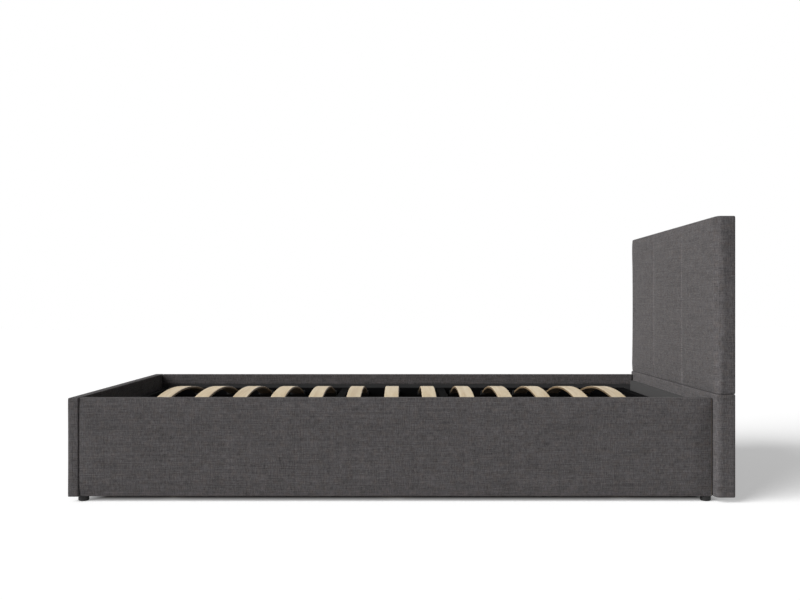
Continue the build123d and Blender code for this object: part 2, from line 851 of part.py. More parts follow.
def strut_clip(x, z):
    clip_y = strut_y - strut_eye_width / 2 - layer_gap
    return rod_across(x, z, stud_clip_radius, clip_y - stud_clip_thickness, clip_y)


def strut_lower_studs():
    """Studs that stand in from the hinge plates and carry the cylinders' eyes."""
    x, z = strut_fixed
    clip_y = strut_y - strut_eye_width / 2 - layer_gap
    stud = rod_across(x, z, pivot_radius, clip_y, rail_inner_y) + strut_clip(x, z)
    collar = rod_across(x, z, stud_collar_radius, plate_inner_y - stud_collar_length, plate_inner_y)
    return both_sides([stud + collar])


def strut_upper_studs():
    """Studs in the rods' eyes, which stop just short of the platform's brackets."""
    x, z = strut_moving
    clip_y = strut_y - strut_eye_width / 2 - layer_gap
    end_y = frame_outer_y - layer_gap
    stud = rod_across(x, z, pivot_radius, clip_y, end_y) + strut_clip(x, z)
    collar = rod_across(x, z, stud_collar_radius, end_y - stud_collar_length, end_y)
    return both_sides([stud + collar])


def pair(name, solid):
    """The right piece and its mirror image, each as its own node."""
    return {"right_" + name: solid, "left_" + name: other_side(solid)}


def build_nodes():
    nodes = {}
    nodes.update(pair("rail_board", rail_board()))
    nodes.update(pair("rail_liner", rail_liner()))
    nodes.update(pair("rail_upholstery", rail_upholstery()))
    nodes["footboard_panel"] = footboard_panel()
    nodes["footboard_upholstery"] = footboard_upholstery()
    nodes["headboard_lower_panel"] = headboard_lower_panel()
    nodes["headboard_lower_upholstery"] = headboard_lower_upholstery()
    nodes["headboard_upper_panel"] = headboard_upper_panel()
    nodes["headboard_upper_upholstery"] = headboard_upper_upholstery()
    nodes["headboard_studs"] = group(stud_solids(stud_radius))
    nodes["head_liner"] = head_liner()
    nodes["corner_brackets"] = corner_brackets()
    nodes["corner_bolts"] = both_sides(corner_bolts_right(bolt_radius))
    nodes["base_battens"] = base_battens()
    nodes["batten_brackets"] = batten_brackets()
    nodes["base_panels"] = base_panels()
    nodes["glide_feet"] = glide_feet()
    nodes["platform_ledges"] = platform_ledges()
    nodes.update(pair("hinge_plate", hinge_plate()))
    nodes["hinge_plate_bolts"] = both_sides(hinge_bolts_right(bolt_radius))
    nodes["fixed_pivot_pins"] = fixed_pivot_pins()
    nodes["strut_lower_studs"] = strut_lower_studs()
    nodes.update(pair("long_arm", arm(long_fixed, long_moving)))
    nodes.update(pair("short_arm", arm(short_fixed, short_moving)))
    nodes["short_arm_rivets"] = short_arm_rivets()
    nodes.update(pair("side_tube", side_tube()))
    nodes["tube_end_caps"] = tube_end_caps()
    nodes["foot_end_tube"] = end_tube(frame_foot_x + tube_size / 2)
    nodes["head_end_tube"] = end_tube(frame_head_x - tube_size / 2)
    nodes["cross_tubes"] = cross_tubes()
    for number, x in enumerate(slat_places(), start=1):
        nodes[f"slat_{number:02d}"] = slat(x)
    nodes["slat_holders"] = slat_holders()
    nodes.update(pair("platform_bracket", platform_bracket()))
    nodes["platform_bracket_bolts"] = both_sides(bracket_bolts_right(bolt_radius))
    nodes["platform_pivot_pins"] = platform_pivot_pins()
    nodes.update(pair("strut_cylinder", strut_cylinder()))
    nodes.update(pair("strut_rod", strut_rod()))
    nodes["strut_upper_studs"] = strut_upper_studs()
    return nodes


os.makedirs("parts", exist_ok=True)
for node_name, node_shape in build_nodes().items():
    export_step(node_shape, f"parts/{node_name}.step")
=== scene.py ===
"""Upholstered ottoman storage bed: cloth covers, slats, lifting frame and the studio it stands in."""
import math

import bmesh
import bpy
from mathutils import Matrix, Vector


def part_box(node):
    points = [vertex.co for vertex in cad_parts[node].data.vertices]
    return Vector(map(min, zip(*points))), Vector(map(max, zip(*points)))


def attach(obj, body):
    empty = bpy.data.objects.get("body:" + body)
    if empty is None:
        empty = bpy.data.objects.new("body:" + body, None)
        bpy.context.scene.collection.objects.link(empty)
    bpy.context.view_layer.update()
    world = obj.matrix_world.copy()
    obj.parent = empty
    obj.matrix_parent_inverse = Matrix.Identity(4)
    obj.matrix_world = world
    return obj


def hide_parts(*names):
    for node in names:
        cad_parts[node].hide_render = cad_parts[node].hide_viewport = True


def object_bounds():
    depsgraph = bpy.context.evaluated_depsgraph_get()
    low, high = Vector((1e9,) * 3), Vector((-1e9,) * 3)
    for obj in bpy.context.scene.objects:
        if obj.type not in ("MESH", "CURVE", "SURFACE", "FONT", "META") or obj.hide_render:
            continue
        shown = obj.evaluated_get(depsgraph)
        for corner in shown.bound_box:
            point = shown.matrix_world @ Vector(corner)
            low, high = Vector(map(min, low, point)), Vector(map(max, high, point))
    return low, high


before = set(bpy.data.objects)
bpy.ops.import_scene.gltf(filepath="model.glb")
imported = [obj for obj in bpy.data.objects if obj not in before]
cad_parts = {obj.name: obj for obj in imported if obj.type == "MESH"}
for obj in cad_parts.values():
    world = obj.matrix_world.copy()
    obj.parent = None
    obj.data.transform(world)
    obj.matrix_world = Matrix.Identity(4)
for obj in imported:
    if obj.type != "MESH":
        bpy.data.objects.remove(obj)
cad_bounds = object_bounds()

bl_info = {
    "name": "Ottoman storage bed",
    "version": (1, 0, 0),
    "blender": (4, 5, 0),
    "location": "3D View > Sidebar > Ottoman bed",
    "description": "Dresses the frame of a storage bed with padded covers, wood and metal finishes",
    "category": "Object",
}

BASE = "bed_base"
ALONG, ACROSS, UP = 0, 1, 2  # the bed's axes
ON_FACE = 0.0005             # a point this near a face's plane counts as on it
CUT_SNAP = 1e-6              # points this near a cut move onto it

# The weave. Slubs and bands are noise cells per metre over the cloth's width and length.
WARP_SLUBS = (330, 60, 1)
WARP_BANDS = (290, 4, 1)
WARP_BAND_SHARE = 0.28
WEFT_SLUBS = (40, 330, 1)
WEFT_BANDS = (5, 290, 1)
WEFT_BAND_SHARE = 0.42
CROSSING_DIP = 0.4
SLUB_CONTRAST = 3.0
SLUB_OFFSET = -1.2
COARSE_CONTRAST = 0.9
CLOUD_CONTRAST = 0.5
DARKEST_YARN = 0.25
# Painted shade in the gaps between the threads, and painted light on their crests.
GAP_SHADE = 0.74
THREAD_LIGHT = 0.4
SLUB_RELIEF = 0.9

# The seams. Shares run from 0 at a seam's outer edge to 1 on its line.
# A painted highlight towards a seam's line, and painted shade in its depth.
SEAM_PAINTED_HIGHLIGHT = 1.42
SEAM_SHADOW = 0.45
STITCH_LENGTH = 0.0065
STITCH_SHARE = 0.45      # where the stitches run
STITCH_WIDTH = 0.12
STITCH_CONTRAST = 0.14
SEAM_CUTS = (-1.0, -0.68, -0.35, -0.12, 0.0, 0.12, 0.35, 0.68, 1.0)
SEAM_SHARPNESS = 1.3
SEAM_LOOPS_WIDTH = 4     # how far to each side its loops are cut, in half widths
SEAM_LOOPS_DEPTH = 0.02  # how far behind the face its loops are cut
SEAM_FADE_DEPTH = 0.016  # how far behind the face it has faded away
SEAM_FADE_SLOPE = 1.6
SEAM_HOLD = 0.006        # cloth this near a seam is sewn down
FOOTBOARD_SEAM_SHARE = 0.6

# Rounded edges of the covers: radius in metres and number of segments
RAIL_HEAD_EDGE = (0.007, 4)
RAIL_FOOT_EDGE = (0.004, 3)
RAIL_TOP_EDGE = (0.008, 4)
RAIL_TOP_RIM = (0.003, 2)
RAIL_BOTTOM_EDGE = (0.011, 4)
FOOTBOARD_EDGE = (0.0035, 4)
FOOTBOARD_BOTTOM_EDGE = (0.0015, 2)
UPPER_FRONT_EDGE = (0.0142, 6)
LOWER_FRONT_EDGE = (0.0165, 6)
HEAD_BACK_EDGE = (0.006, 3)
HEAD_TOP_EDGE = (0.004, 3)
HEAD_SPLIT_EDGE = (0.003, 2)

# How far from an edge the padding begins to fall away, in metres
RAIL_HEAD_REACH = 0.055
RAIL_BOTTOM_REACH = 0.05
RAIL_TOP_REACH = 0.028
UPPER_SIDE_REACH = 0.055
UPPER_SIDE_FALL = 0.003

# Cloth that is stapled down. For the boards: depth behind the front, bottom strip and top strip.
RAIL_HELD_DEPTH = 0.012
RAIL_HELD_STRIP = 0.003
RAIL_HELD_TOP = 0.002
FOOTBOARD_HELD = (0.006, 0.004, 0.003)
HEAD_HELD = (0.02, 0.006, 0.004)

FOOTBOARD_PROUD = 0.001       # how far the footboard's cloth stands in front of its solid
LOWER_SWELL_SHARE = 0.3       # the headboard's lower piece has thinner padding
LINER_RECESS = 0.0024         # the rail's cloth stands back behind the liner
LINER_FOOT = 0.002            # except along the liner's lower edge
LINER_NEAR = 0.001            # cloth this near the inner face lies behind the liner
STUFFING = {"quality": 4, "mass": 0.3, "tension_stiffness": 12, "compression_stiffness": 12,
            "shear_stiffness": 6, "bending_stiffness": 0.6, "use_pressure": True}
STUFFING_FRAMES = 20

SENSOR_WIDTH = 36.0
CAMERA_SHIFT = (-0.0016, 0.0084)
# Painted shade on the floor: the span over which the floor's glow fades in under the bed.
PAINTED_BED_SHADE_SPAN = (-0.09, -0.03)    # from deep under the bed to just inside its outline


class ClothSettings(bpy.types.PropertyGroup):
    colour: bpy.props.FloatVectorProperty(
        name="Cloth colour", description="Main colour of the woven cover", subtype="COLOR", size=3,
        min=0, max=1, default=(0.0885, 0.0835, 0.0855))
    fleck_colour: bpy.props.FloatVectorProperty(
        name="Fleck colour", description="Warmer yarns that show here and there", subtype="COLOR", size=3,
        min=0, max=1, default=(0.095, 0.085, 0.083))
    thread: bpy.props.FloatProperty(
        name="Thread spacing", description="Distance between two neighbouring threads", unit="LENGTH",
        min=0.0005, max=0.01, default=0.0013)
    thread_height: bpy.props.FloatProperty(
        name="Thread height", description="How far a thread stands over its neighbour", unit="LENGTH",
        min=0, max=0.002, default=0.00035)


class PaddingSettings(bpy.types.PropertyGroup):
    spacing: bpy.props.FloatProperty(
        name="Mesh spacing", description="Distance between the edge loops of a padded cover", unit="LENGTH",
        min=0.004, max=0.05, default=0.0105)
    rail_swell: bpy.props.FloatProperty(
        name="Rail swell", description="How far the padding lifts a rail's cloth", unit="LENGTH",
        min=0, max=0.02, default=0.0018)
    board_swell: bpy.props.FloatProperty(
        name="Footboard swell", description="How far the padding lifts the footboard's cloth", unit="LENGTH",
        min=0, max=0.02, default=0.0022)
    head_swell: bpy.props.FloatProperty(
        name="Headboard swell", description="How far the padding lifts the headboard's cloth", unit="LENGTH",
        min=0, max=0.02, default=0.0035)
    edge_fall: bpy.props.FloatProperty(
        name="Edge fall", description="How far a rail's padding falls away at its edges", unit="LENGTH",
        min=0, max=0.02, default=0.0056)
    seam_depth: bpy.props.FloatProperty(
        name="Seam depth", description="Depth of the sewn seams between the panels", unit="LENGTH",
        min=0, max=0.02, default=0.0042)
    seam_width: bpy.props.FloatProperty(
        name="Seam width", description="Half the width of a sewn seam", unit="LENGTH",
        min=0.001, max=0.02, default=0.0046)
    pressure: bpy.props.FloatProperty(
        name="Pressure", description="Air pressure that stands for the stuffing", min=0, max=50, default=4)


class WoodSettings(bpy.types.PropertyGroup):
    slat_colour: bpy.props.FloatVectorProperty(
        name="Slat colour", description="Pale layer of the slats' veneer", subtype="COLOR", size=3,
        min=0, max=1, default=(0.6, 0.485, 0.305))
    grain_colour: bpy.props.FloatVectorProperty(
        name="Grain colour", description="Darker grain of the slats' veneer", subtype="COLOR", size=3,
        min=0, max=1, default=(0.4, 0.275, 0.135))
    edge_colour: bpy.props.FloatVectorProperty(
        name="Edge colour", description="Sawn edges where the plies show", subtype="COLOR", size=3,
        min=0, max=1, default=(0.2, 0.135, 0.07))


class StageSettings(bpy.types.PropertyGroup):
    floor_colour: bpy.props.FloatVectorProperty(
        name="Floor colour", description="Colour of the studio floor", subtype="COLOR", size=3,
        min=0, max=1, default=(0.8, 0.8, 0.8))
    floor_glow: bpy.props.FloatProperty(
        name="Floor glow", description="White that the camera sees in the floor besides its own colour",
        min=0, max=1, default=0.39)
    floor_size: bpy.props.FloatProperty(
        name="Floor size", description="Side of the studio floor", unit="LENGTH", min=5, max=100, default=40)
    key_strength: bpy.props.FloatProperty(
        name="Key light", description="Strength of the wide soft light from the foot end",
        min=0, max=20, default=4.25)
    key_spread: bpy.props.FloatProperty(
        name="Key spread", description="How wide the key light looks from the bed", subtype="ANGLE",
        min=0, max=3.1, default=math.radians(48))
    key_direction: bpy.props.FloatVectorProperty(
        name="Key direction", description="The way that the key light shines", subtype="DIRECTION", size=3,
        default=(0.872, 0.49, -0.55))
    sky: bpy.props.FloatProperty(
        name="Sky", description="Strength of the even light from all round", min=0, max=2, default=0.13)
    lens: bpy.props.FloatProperty(
        name="Lens", description="Focal length of the camera in millimetres", min=10, max=300, default=40.46)
    camera_place: bpy.props.FloatVectorProperty(
        name="Camera place", description="Where the camera stands", subtype="TRANSLATION", size=3,
        default=(0.00075, -3.184, 0.587))


# Node helpers

def new_material(name):
    material = bpy.data.materials.new(name)
    material.use_nodes = True
    return material, material.node_tree, material.node_tree.nodes["Principled BSDF"]


def node(tree, kind, **settings):
    made = tree.nodes.new(kind)
    for key, value in settings.items():
        setattr(made, key, value)
    return made


def feed(tree, socket, value):
    """Puts a number, colour or another node's output into a socket."""
    if isinstance(value, bpy.types.NodeSocket):
        tree.links.new(value, socket)
    else:
        socket.default_value = value


def maths(tree, operation, *values):
    made = node(tree, "ShaderNodeMath", operation=operation)
    for socket, value in zip(made.inputs, values):
        feed(tree, socket, value)
    return made.outputs[0]


def mixed(tree, share, first, second):
    gap = maths(tree, "SUBTRACT", second, first)
    return maths(tree, "MULTIPLY_ADD", gap, share, first)


def spread_out(tree, value, low, high, to_low=0.0, to_high=1.0):
    """Maps the range from low to high onto the range from to_low to to_high, and stops there."""
    made = node(tree, "ShaderNodeMapRange")
    for key, item in (("Value", value), ("From Min", low), ("From Max", high), ("To Min", to_low),
                      ("To Max", to_high)):
        feed(tree, made.inputs[key], item)
    return made.outputs[0]


def blend_colours(tree, share, first, second):
    made = node(tree, "ShaderNodeMix", data_type="RGBA")
    feed(tree, made.inputs["Factor"], share)
    for key, value in (("A", first), ("B", second)):
        sockets = [s for s in made.inputs if s.name == key and s.type == "RGBA"]
        feed(tree, sockets[0], value if isinstance(value, bpy.types.NodeSocket) else (*value[:3], 1))
    return [s for s in made.outputs if s.type == "RGBA"][0]


def shades(tree, share, colour, darker, lighter):
    """One colour that varies between a darker and a lighter shade of itself."""
    dark = tuple(c * darker for c in colour)
    light = tuple(min(1, c * lighter) for c in colour)
    return blend_colours(tree, share, dark, light)


def scaled(tree, colour, amount):
    made = node(tree, "ShaderNodeVectorMath", operation="SCALE")
    feed(tree, made.inputs[0], colour)
    feed(tree, made.inputs["Scale"], amount)
    return made.outputs[0]


def split(tree, vector):
    made = node(tree, "ShaderNodeSeparateXYZ")
    feed(tree, made.inputs[0], vector)
    return made.outputs


def noise(tree, vector, scale=1.0, detail=3.0, roughness=0.5, distortion=0.0):
    made = node(tree, "ShaderNodeTexNoise")
    feed(tree, made.inputs["Vector"], vector)
    made.inputs["Scale"].default_value = scale
    made.inputs["Detail"].default_value = detail
    made.inputs["Roughness"].default_value = roughness
    made.inputs["Distortion"].default_value = distortion
    return made.outputs[0]


def stretched(tree, vector, cells):
    """Coordinates that give a noise of scale 1 so many cells per metre along each axis."""
    made = node(tree, "ShaderNodeMapping")
    feed(tree, made.inputs["Vector"], vector)
    made.inputs["Scale"].default_value = cells
    return made.outputs[0]


def grain_cells(axis, across, along):
    """Many cells across the grain and few along it."""
    cells = [across] * 3
    cells["XYZ".index(axis)] = along
    return cells


def object_place(tree):
    return node(tree, "ShaderNodeTexCoord").outputs["Object"]


def raise_surface(tree, shader, height, distance):
    made = node(tree, "ShaderNodeBump")
    made.inputs["Strength"].default_value = 1.0
    made.inputs["Distance"].default_value = distance
    feed(tree, made.inputs["Height"], height)
    tree.links.new(made.outputs["Normal"], shader.inputs["Normal"])


def set_shader(shader, **values):
    for key, value in values.items():
        shader.inputs[key.replace("_", " ")].default_value = value


def vary_roughness(tree, shader, share, smoothest, roughest):
    feed(tree, shader.inputs["Roughness"],
         spread_out(tree, share, low=0.3, high=0.7, to_low=smoothest, to_high=roughest))


# Finishes

def yarn_tone(tree, layout, slubs, bands, band_share):
    """Thick places along a yarn, and yarns that are paler or darker over a long stretch."""
    slub = noise(tree, stretched(tree, layout, slubs), detail=1.0, roughness=0.6)
    band = noise(tree, stretched(tree, layout, bands), detail=1.0)
    return mixed(tree, band_share, slub, band)


def seam_stitches_and_painted_light(tree, along):
    """Cloth with a painted highlight towards a seam, stitches beside its line and a line of painted shade in
    its depth.
    """
    seam = node(tree, "ShaderNodeAttribute", attribute_name="seam").outputs["Fac"]
    # Painted highlight: the cloth turns paler towards the seam's line.
    painted_highlight_and_stitches = spread_out(tree, seam, low=0.03, high=0.3, to_low=1.0, to_high=SEAM_PAINTED_HIGHLIGHT)
    stitch = maths(tree, "SINE", maths(tree, "MULTIPLY", along, 2 * math.pi / STITCH_LENGTH))
    beside = maths(tree, "COMPARE", seam, STITCH_SHARE, STITCH_WIDTH)
    painted_highlight_and_stitches = maths(tree, "MULTIPLY_ADD", maths(tree, "MULTIPLY", stitch, beside), STITCH_CONTRAST, painted_highlight_and_stitches)
    # Painted shade: a dark line in the seam's depth.
    shadow = spread_out(tree, seam, low=0.8, high=0.95, to_low=1.0, to_high=SEAM_SHADOW)
    return maths(tree, "MULTIPLY", painted_highlight_and_stitches, shadow)


def woven_cloth(cloth):
    """Plain weave of thick and thin yarns, laid out on the cover's own UV map."""
    material, tree, shader = new_material("woven_cloth")
    layout = node(tree, "ShaderNodeUVMap", uv_map="cloth_layout").outputs[0]
    width, length, _ = split(tree, layout)
    across = maths(tree, "SINE", maths(tree, "MULTIPLY", width, math.pi / cloth.thread))
    along = maths(tree, "SINE", maths(tree, "MULTIPLY", length, math.pi / cloth.thread))
    warp_on_top = maths(tree, "GREATER_THAN", maths(tree, "MULTIPLY", across, along), 0.0)
    warp = maths(tree, "ABSOLUTE", across)
    weft = maths(tree, "ABSOLUTE", along)
    crest = 1 - CROSSING_DIP
    warp_height = maths(tree, "MULTIPLY", warp, maths(tree, "MULTIPLY_ADD", weft, CROSSING_DIP, crest))
    weft_height = maths(tree, "MULTIPLY", weft, maths(tree, "MULTIPLY_ADD", warp, CROSSING_DIP, crest))
    thread_height = mixed(tree, warp_on_top, weft_height, warp_height)
    warp_slub = yarn_tone(tree, layout, WARP_SLUBS, WARP_BANDS, WARP_BAND_SHARE)
    weft_slub = yarn_tone(tree, layout, WEFT_SLUBS, WEFT_BANDS, WEFT_BAND_SHARE)
    slub = mixed(tree, warp_on_top, weft_slub, warp_slub)
    coarse = noise(tree, layout, scale=260.0, detail=2.0, roughness=0.7)
    cloud = noise(tree, layout, scale=24.0, roughness=0.6)
    fleck = spread_out(tree, noise(tree, layout, scale=55.0, detail=4.0, roughness=0.7), low=0.46, high=0.66)
    yarn = blend_colours(tree, fleck, tuple(cloth.colour), tuple(cloth.fleck_colour))
    shade = maths(tree, "MULTIPLY_ADD", slub, SLUB_CONTRAST, SLUB_OFFSET)
    shade = maths(tree, "MULTIPLY_ADD", coarse, COARSE_CONTRAST, shade)
    shade = maths(tree, "MULTIPLY_ADD", cloud, CLOUD_CONTRAST, shade)
    shade = maths(tree, "MAXIMUM", shade, DARKEST_YARN)
    shade = maths(tree, "MULTIPLY", shade, seam_stitches_and_painted_light(tree, length))
    # Painted shade between the threads and painted light on their crests.
    shade = maths(tree, "MULTIPLY", shade, maths(tree, "MULTIPLY_ADD", thread_height, THREAD_LIGHT, GAP_SHADE))
    feed(tree, shader.inputs["Base Color"], scaled(tree, yarn, shade))
    set_shader(shader, Roughness=0.94, Sheen_Weight=0.05, Sheen_Roughness=0.45, Specular_IOR_Level=0.1)
    relief = maths(tree, "MULTIPLY_ADD", slub, SLUB_RELIEF, thread_height)
    raise_surface(tree, shader, relief, cloth.thread_height)


def lining_felt(name, colour, relief):
    """Pressed felt lining with short tangled fibres."""
    material, tree, shader = new_material(name)
    place = object_place(tree)
    fibres = noise(tree, place, scale=900.0, roughness=0.7, distortion=1.2)
    cloud = noise(tree, place, scale=12.0, detail=2.0)
    share = maths(tree, "MULTIPLY_ADD", fibres, 0.35, maths(tree, "MULTIPLY_ADD", cloud, 0.25, 0.7))
    feed(tree, shader.inputs["Base Color"], shades(tree, share, colour, darker=0.55, lighter=1.0))
    set_shader(shader, Roughness=0.9, Specular_IOR_Level=0.2)
    raise_surface(tree, shader, fibres, relief)


def birch_veneer(wood):
    """Lacquered veneer with its grain running across the bed, plies that show on the sawn edges, and painted
    shade on the faces that look down.
    """
    material, tree, shader = new_material("birch_veneer")
    place = object_place(tree)
    bands = noise(tree, stretched(tree, place, (55, 1.6, 55)), detail=4.0, roughness=0.6, distortion=0.8)
    pores = noise(tree, stretched(tree, place, (900, 14, 900)), detail=2.0)
    tone = noise(tree, stretched(tree, place, (8, 0.8, 8)), detail=1.0)
    grain = spread_out(tree, bands, low=0.36, high=0.68)
    grain = maths(tree, "MULTIPLY_ADD", spread_out(tree, pores, low=0.55, high=0.75), 0.35, grain)
    colour = blend_colours(tree, maths(tree, "MULTIPLY", grain, 0.62), tuple(wood.slat_colour),
                           tuple(wood.grain_colour))
    facing = split(tree, node(tree, "ShaderNodeTexCoord").outputs["Normal"])
    plies = noise(tree, stretched(tree, place, (3, 3, 1100)), detail=1.0)
    sawn = blend_colours(tree, spread_out(tree, plies, low=0.42, high=0.58), tuple(wood.edge_colour),
                         tuple(c * 0.45 for c in wood.edge_colour))
    side = spread_out(tree, maths(tree, "ABSOLUTE", facing[ALONG]), low=0.6, high=0.8)
    colour = blend_colours(tree, side, colour, sawn)
    light = maths(tree, "MULTIPLY_ADD", tone, 0.4, 0.82)
    # Painted shade: faces that look down are drawn darker, down to a fifth of their colour.
    painted_underside_shade = spread_out(tree, facing[UP], low=-0.7, high=-0.3, to_low=0.2, to_high=1.0)
    light = maths(tree, "MULTIPLY", light, painted_underside_shade)
    feed(tree, shader.inputs["Base Color"], scaled(tree, colour, light))
    feed(tree, shader.inputs["Roughness"], spread_out(tree, bands, low=0.2, high=0.8, to_low=0.42, to_high=0.6))
    set_shader(shader, Coat_Weight=0.12, Coat_Roughness=0.35)
    raise_surface(tree, shader, maths(tree, "ADD", pores, grain), distance=0.00012)


def sawn_timber(name, painted_highlight_and_stitches, dark, axis):
    """Planed timber with its grain along one axis."""
    material, tree, shader = new_material(name)
    place = object_place(tree)
    rings = noise(tree, stretched(tree, place, grain_cells(axis, across=40, along=1.2)),
                  detail=5.0, roughness=0.6, distortion=1.4)
    fibre = noise(tree, stretched(tree, place, grain_cells(axis, across=500, along=9)), detail=2.0)
    share = maths(tree, "MULTIPLY_ADD", fibre, 0.3, spread_out(tree, rings, low=0.35, high=0.7))
    feed(tree, shader.inputs["Base Color"], blend_colours(tree, share, painted_highlight_and_stitches, dark))
    set_shader(shader, Roughness=0.72)
    raise_surface(tree, shader, share, distance=0.0003)


def pressed_board(name, colour, chips):
    """Fibre board with fine chips and a slight mottle."""
    material, tree, shader = new_material(name)
    place = object_place(tree)
    grain = noise(tree, place, scale=chips, detail=5.0, roughness=0.75)
    cloud = noise(tree, place, scale=7.0, detail=2.0)
    share = maths(tree, "MULTIPLY_ADD", cloud, 0.4, maths(tree, "MULTIPLY", grain, 0.6))
    feed(tree, shader.inputs["Base Color"], shades(tree, share, colour, darker=0.7, lighter=1.3))
    set_shader(shader, Roughness=0.68)
    raise_surface(tree, shader, grain, distance=0.0002)


def powder_coat(name, colour, roughness, shine):
    """Baked coating with a fine orange peel."""
    material, tree, shader = new_material(name)
    place = object_place(tree)
    peel = noise(tree, place, scale=700.0, detail=2.0)
    dust = noise(tree, place, scale=30.0, detail=4.0, roughness=0.6)
    feed(tree, shader.inputs["Base Color"], shades(tree, dust, colour, darker=0.75, lighter=1.4))
    vary_roughness(tree, shader, dust, roughness - 0.06, roughness + 0.08)
    set_shader(shader, Specular_IOR_Level=shine)
    raise_surface(tree, shader, peel, distance=0.00008)


def bare_metal(name, colour, roughness, brush):
    """Plated or polished metal with fine drawing marks."""
    material, tree, shader = new_material(name)
    place = object_place(tree)
    marks = noise(tree, stretched(tree, place, brush), roughness=0.6)
    cloud = noise(tree, place, scale=45.0)
    feed(tree, shader.inputs["Base Color"], shades(tree, cloud, colour, darker=0.86, lighter=1.1))
    vary_roughness(tree, shader, marks, roughness - 0.05, roughness + 0.08)
    set_shader(shader, Metallic=1.0)
    raise_surface(tree, shader, marks, distance=0.00003)


def moulded_plastic(name, colour, roughness):
    """Grained black plastic."""
    material, tree, shader = new_material(name)
    place = object_place(tree)
    grain = node(tree, "ShaderNodeTexVoronoi")
    feed(tree, grain.inputs["Vector"], place)
    grain.inputs["Scale"].default_value = 1100.0
    scuff = noise(tree, place, scale=60.0, detail=4.0, roughness=0.65)
    feed(tree, shader.inputs["Base Color"], shades(tree, scuff, colour, darker=0.8, lighter=1.5))
    vary_roughness(tree, shader, scuff, roughness - 0.05, roughness + 0.1)
    set_shader(shader, Specular_IOR_Level=0.3)
    raise_surface(tree, shader, grain.outputs["Distance"], distance=0.00006)


def finish_nodes(names, finish):
    for name in names:
        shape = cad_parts[name]
        shape.data.materials.clear()
        shape.data.materials.append(bpy.data.materials[finish])


def both(name):
    return ["left_" + name, "right_" + name]


# Padded covers

def smooth_faces(mesh):
    for face in mesh.polygons:
        face.use_smooth = True


def add_piece(name, shape):
    mesh = bpy.data.meshes.new(name)
    shape.to_mesh(mesh)
    shape.free()
    smooth_faces(mesh)
    piece = bpy.data.objects.new(name, mesh)
    bpy.context.scene.collection.objects.link(piece)
    return piece


def block_mesh(low, high):
    shape = bmesh.new()
    bmesh.ops.create_cube(shape, size=1.0)
    size = Vector(high) - Vector(low)
    bmesh.ops.scale(shape, vec=size, verts=shape.verts)
    bmesh.ops.translate(shape, vec=(Vector(low) + Vector(high)) / 2, verts=shape.verts)
    return shape


def round_edges(shape, chosen, radius, segments):
    """Rounds the edges that are chosen by their middle and by themselves."""
    edges = [e for e in shape.edges if chosen((e.verts[0].co + e.verts[1].co) / 2, e)]
    bmesh.ops.bevel(shape, geom=edges, offset=radius, offset_type="OFFSET", segments=segments, profile=0.5,
                    affect="EDGES", material=-1, clamp_overlap=True)


def runs_along(edge, axis):
    step = edge.verts[1].co - edge.verts[0].co
    return abs(step[axis]) > 0.9 * step.length


def cut_across(shape, axis, places):
    """Adds an edge loop at each place along an axis."""
    normal = [0, 0, 0]
    normal[axis] = 1
    for place in places:
        point = [0, 0, 0]
        point[axis] = place
        bmesh.ops.bisect_plane(shape, geom=shape.verts[:] + shape.edges[:] + shape.faces[:], dist=CUT_SNAP,
                               plane_co=point, plane_no=normal)


def even_places(low, high, spacing):
    count = max(1, math.ceil((high - low) / spacing))
    return [low + (high - low) * i / count for i in range(1, count)]


def add_loops(shape, low, high, spacing):
    for axis in (ACROSS, UP, ALONG):
        cut_across(shape, axis, even_places(low[axis], high[axis], spacing))


def soften_face(shape, axis, face, back, edges, depth):
    """Lets the padding fall away towards a face's edges, each given as axis, place and reach."""
    inwards = 1 if back > face else -1
    for v in shape.verts:
        share = (v.co[axis] - back) / (face - back)
        if share <= 0:
            continue
        falls = [max(0.0, 1 - abs(v.co[side] - place) / reach) ** 2 for side, place, reach in edges]
        v.co[axis] += inwards * depth * min(1.0, sum(falls)) * min(1.0, share) ** 2


def sewn_down(low, high, depth, bottom, top, seams=()):
    """Makes the test for a board cover's held points: off the front, at the bottom and top, and by a seam."""
    def held(p):
        return (p.x > low.x + depth or p.z < low.z + bottom or p.z > high.z - top
                or any(abs(p.y - y) < SEAM_HOLD for y in seams))
    return held


def swell(piece, held, pressure, cap):
    """Blows the cover up like stuffed cloth, with the held points fixed and every point kept within the cap."""
    mesh = piece.data
    rest = [v.co.copy() for v in mesh.vertices]
    group = piece.vertex_groups.new(name="held")
    group.add([v.index for v in mesh.vertices if held(v.co)], 1.0, "REPLACE")
    cloth = piece.modifiers.new("Stuffing", "CLOTH")
    for setting, value in STUFFING.items():
        setattr(cloth.settings, setting, value)
    cloth.settings.uniform_pressure_force = pressure
    cloth.settings.vertex_group_mass = group.name
    cloth.settings.effector_weights.gravity = 0
    cloth.collision_settings.use_collision = False
    cloth.point_cache.frame_start = 1
    cloth.point_cache.frame_end = STUFFING_FRAMES
    scene = bpy.context.scene
    for moment in range(1, STUFFING_FRAMES + 1):
        scene.frame_set(moment)
    stuffed = piece.evaluated_get(bpy.context.evaluated_depsgraph_get())
    moved = [v.co.copy() for v in stuffed.data.vertices]
    piece.modifiers.remove(cloth)
    for vertex, start, end in zip(mesh.vertices, rest, moved):
        step = end - start
        if step.length > cap:
            step = step.normalized() * cap
        vertex.co = start + step
    piece.vertex_groups.clear()
    scene.frame_set(1)


def subdivide_once(piece):
    smooth = piece.modifiers.new("Smooth", "SUBSURF")
    smooth.levels = smooth.render_levels = 1
    fine = bpy.data.meshes.new_from_object(piece.evaluated_get(bpy.context.evaluated_depsgraph_get()))
    piece.modifiers.remove(smooth)
    old = piece.data
    fine.name = old.name
    piece.data = fine
    bpy.data.meshes.remove(old)
    smooth_faces(fine)


def panel_seams(low, high):
    """Places of the two seams that part a board into three equal panels."""
    return [(high.y - low.y) / 6, -(high.y - low.y) / 6]


